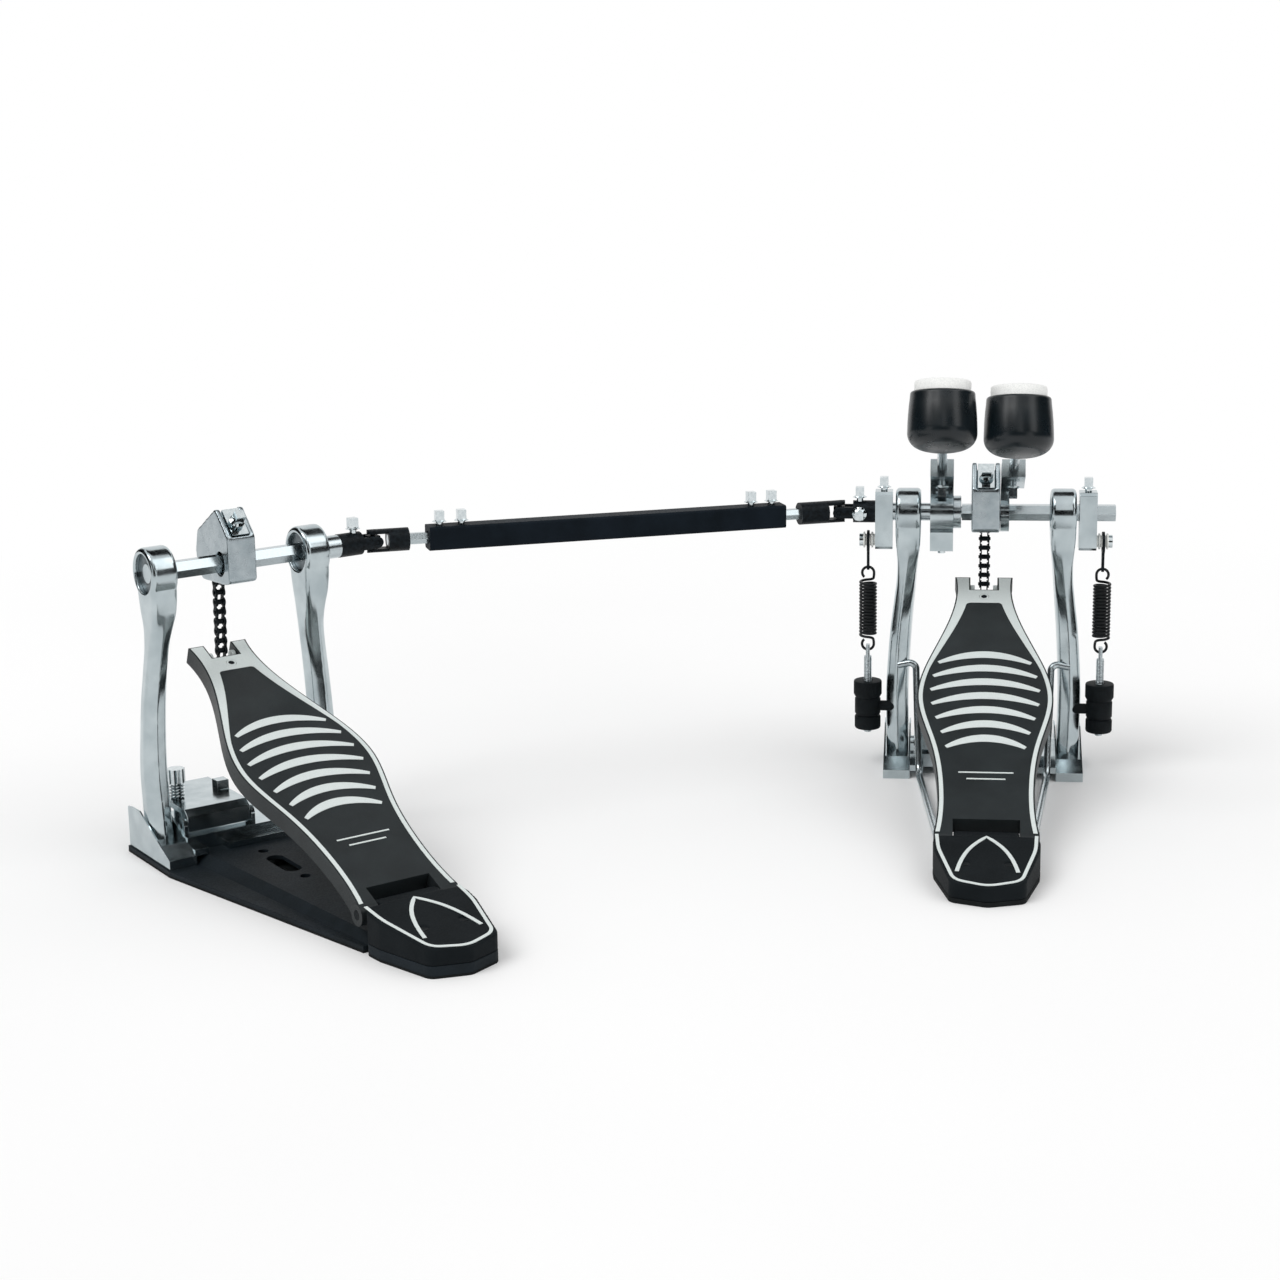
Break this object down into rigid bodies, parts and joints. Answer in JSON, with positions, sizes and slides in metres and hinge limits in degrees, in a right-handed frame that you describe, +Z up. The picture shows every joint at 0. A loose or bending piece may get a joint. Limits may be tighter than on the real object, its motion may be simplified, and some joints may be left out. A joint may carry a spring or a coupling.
{
  "type": "double bass drum pedal",
  "caption": "Double bass drum pedal: polished cast frames, black footboards on hinged heel plates, chain drive, a jointed drive shaft, felt beaters and return springs.",
  "frame": {"origin": "on the floor, under the middle of the whole object's box", "axes": "+Z up, +Y towards the drum, +X along the right pedal's axle to the player's right"},
  "size_m": [0.6236, 0.46, 0.2908],
  "materials": {
    "polished_alloy": "polished",
    "mat_rubber": "matte",
    "black_steel": "satin",
    "black_alloy": "satin",
    "bright_steel": "polished",
    "chrome_bolts": "polished",
    "grey_cast_alloy": "satin",
    "black_chain": "satin",
    "black_shell": "gloss",
    "white_felt": "matte",
    "white_nylon": "matte",
    "black_plastic": "matte"
  },
  "bodies": {
    "frame": {"left_rubber_mat": "mat_rubber", "left_base_plate": "black_steel", "left_frame_casting": "polished_alloy", "left_posts": "polished_alloy", "left_heel_plate": "black_alloy", "main_frame_casting": "polished_alloy", "main_posts": "polished_alloy", "main_heel_plate": "black_alloy", "main_heel_foot": "mat_rubber", "axle_bearings": "bright_steel", "frame_pins": "bright_steel", "stay_rod_left": "bright_steel", "stay_rod_right": "bright_steel"},
    "left_axle": {"left_axle": "bright_steel", "left_cam": "grey_cast_alloy", "left_cam_clamp": "chrome_bolts", "left_yoke": "black_steel", "left_yoke_bolt": "chrome_bolts"},
    "left_cross": {"left_joint_cross": "black_steel"},
    "drive_shaft": {"shaft_tube": "black_steel", "shaft_rods": "bright_steel", "shaft_yokes": "black_steel", "shaft_bolts": "chrome_bolts"},
    "stub": {"stub_shaft": "bright_steel", "stub_yoke": "black_steel", "left_beater_hub": "grey_cast_alloy", "left_spring_block": "grey_cast_alloy", "left_spring_bush": "white_nylon", "stub_bolts": "chrome_bolts"},
    "main_cross": {"main_joint_cross": "black_steel"},
    "left_beater": {"left_beater_rod": "bright_steel", "left_beater_shell": "black_shell", "left_beater_felt": "white_felt"},
    "main_axle": {"main_axle": "bright_steel", "main_cam": "grey_cast_alloy", "main_cam_clamp": "chrome_bolts", "right_beater_holder": "grey_cast_alloy", "right_spring_block": "grey_cast_alloy", "right_spring_bush": "white_nylon", "main_axle_bolts": "chrome_bolts"},
    "right_beater": {"right_beater_rod": "bright_steel", "right_beater_shell": "black_shell", "right_beater_felt": "white_felt"},
    "left_footboard": {"left_footboard": "black_alloy"},
    "main_footboard": {"main_footboard": "black_alloy"},
    "left_chain": {"left_chain": "black_chain"},
    "main_chain": {"main_chain": "black_chain"},
    "left_spring_holder": {"left_spring_holder": "black_plastic", "left_spring_rod": "bright_steel", "left_spring_coil": "bright_steel"},
    "right_spring_holder": {"right_spring_holder": "black_plastic", "right_spring_rod": "bright_steel", "right_spring_coil": "bright_steel"},
    "left_spring_hook": {"left_spring_hook": "black_steel"},
    "right_spring_hook": {"right_spring_hook": "black_steel"},
    "left_clamp_jaw": {"left_clamp_jaw": "grey_cast_alloy"},
    "main_clamp_jaw": {"main_clamp_jaw": "grey_cast_alloy"},
    "left_clamp_screw": {"left_clamp_screw": "chrome_bolts"},
    "main_clamp_screw": {"main_clamp_screw": "chrome_bolts"}
  },
  "joints": [
    {"name": "left_axle_turn", "type": "hinge", "parent": "frame", "child": "left_axle", "pos_m": [-0.24, -0.01318, 0.1831], "axis": [-0.749, -0.6626, 0], "range_deg": [0, 50], "stiffness_Nm_per_rad": 0.4, "springref_deg": -20.05},
    {"name": "main_axle_turn", "type": "hinge", "parent": "frame", "child": "main_axle", "pos_m": [0.2237, 0.18202, 0.179], "axis": [-1, 0, 0], "range_deg": [0, 50], "stiffness_Nm_per_rad": 0.4, "springref_deg": -20.05},
    {"name": "left_cross_turn", "type": "hinge", "parent": "left_axle", "child": "left_cross", "pos_m": [-0.16675, 0.05163, 0.1831], "axis": [-0.6626, 0.749, 0], "range_deg": [-0.05, 13.53]},
    {"name": "shaft_turn", "type": "hinge", "parent": "frame", "child": "drive_shaft", "pos_m": [-0.16675, 0.05163, 0.1831], "axis": [-0.9131, -0.4074, 0.0128], "range_deg": [-0.05, 52.57]},
    {"name": "stub_turn", "type": "hinge", "parent": "frame", "child": "stub", "pos_m": [0.2237, 0.18202, 0.179], "axis": [-1, 0, 0], "range_deg": [-0.05, 48.85]},
    {"name": "main_cross_turn", "type": "hinge", "parent": "stub", "child": "main_cross", "pos_m": [0.1255, 0.18202, 0.179], "axis": [0, 1, 0], "range_deg": [-19.32, 0.05]},
    {"name": "left_footboard_press", "type": "hinge", "parent": "frame", "child": "left_footboard", "pos_m": [-0.10284, -0.16821, 0.0201], "axis": [-0.749, -0.6626, 0], "range_deg": [-0.05, 4.79]},
    {"name": "main_footboard_press", "type": "hinge", "parent": "frame", "child": "main_footboard", "pos_m": [0.2237, -0.02498, 0.016], "axis": [-1, 0, 0], "range_deg": [-0.05, 4.88]},
    {"name": "left_chain_swing", "type": "hinge", "parent": "left_footboard", "child": "left_chain", "pos_m": [-0.25683, 0.00584, 0.11494], "axis": [-0.749, -0.6626, 0], "range_deg": [-8.78, 0.05]},
    {"name": "main_chain_swing", "type": "hinge", "parent": "main_footboard", "child": "main_chain", "pos_m": [0.2237, 0.20432, 0.11809], "axis": [-1, 0, 0], "range_deg": [-10.42, 0.05]},
    {"name": "left_spring_tilt", "type": "hinge", "parent": "frame", "child": "left_spring_holder", "pos_m": [0.1452, 0.18202, 0.043], "axis": [1, 0, 0], "range_deg": [-0.05, 7.19]},
    {"name": "left_spring_stretch", "type": "slide", "parent": "left_spring_holder", "child": "left_spring_hook", "axis": [0, 0, 1], "range_m": [-0.0001, 0.00776], "deforming": ["left_spring_coil"]},
    {"name": "right_spring_tilt", "type": "hinge", "parent": "frame", "child": "right_spring_holder", "pos_m": [0.3022, 0.18202, 0.043], "axis": [1, 0, 0], "range_deg": [-0.05, 7.39]},
    {"name": "right_spring_stretch", "type": "slide", "parent": "right_spring_holder", "child": "right_spring_hook", "axis": [0, 0, 1], "range_m": [-0.0001, 0.00829], "deforming": ["right_spring_coil"]},
    {"name": "left_beater_height", "type": "slide", "parent": "stub", "child": "left_beater", "axis": [0, -0.9063, 0.4226], "range_m": [-0.008, 0.012]},
    {"name": "right_beater_height", "type": "slide", "parent": "main_axle", "child": "right_beater", "axis": [0, -0.9063, 0.4226], "range_m": [-0.008, 0.012]},
    {"name": "left_jaw_open", "type": "hinge", "parent": "frame", "child": "left_clamp_jaw", "pos_m": [-0.25276, -0.03648, 0.0236], "axis": [0.749, 0.6626, 0], "range_deg": [-4, 4]},
    {"name": "left_screw_rise", "type": "slide", "parent": "frame", "child": "left_clamp_screw", "axis": [0, 0, 1], "range_m": [-0.0019, 0.0019]},
    {"name": "main_jaw_open", "type": "hinge", "parent": "frame", "child": "main_clamp_jaw", "pos_m": [0.1987, 0.17302, 0.0195], "axis": [1, 0, 0], "range_deg": [-4, 4]},
    {"name": "main_screw_rise", "type": "slide", "parent": "frame", "child": "main_clamp_screw", "axis": [0, 0, 1], "range_m": [-0.0019, 0.0019]}
  ],
  "couplings": [
    {"joint": "left_cross_turn", "follows": "left_axle_turn", "ratio": 0.26424},
    {"joint": "shaft_turn", "follows": "left_axle_turn", "ratio": 1.0297},
    {"joint": "stub_turn", "follows": "left_axle_turn", "ratio": 0.95683},
    {"joint": "main_cross_turn", "follows": "left_axle_turn", "ratio": -0.37784},
    {"joint": "left_footboard_press", "follows": "left_axle_turn", "ratio": 0.092996},
    {"joint": "left_chain_swing", "follows": "left_axle_turn", "ratio": -0.17123},
    {"joint": "left_spring_tilt", "follows": "left_axle_turn", "ratio": 0.14},
    {"joint": "left_spring_stretch", "follows": "left_axle_turn", "m_per_rad": 0.0086},
    {"joint": "main_footboard_press", "follows": "main_axle_turn", "ratio": 0.094779},
    {"joint": "main_chain_swing", "follows": "main_axle_turn", "ratio": -0.20335},
    {"joint": "right_spring_tilt", "follows": "main_axle_turn", "ratio": 0.144},
    {"joint": "right_spring_stretch", "follows": "main_axle_turn", "m_per_rad": 0.0092},
    {"joint": "left_screw_rise", "follows": "left_jaw_open", "m_per_rad": 0.0254},
    {"joint": "main_screw_rise", "follows": "main_jaw_open", "m_per_rad": 0.0254}
  ]
}
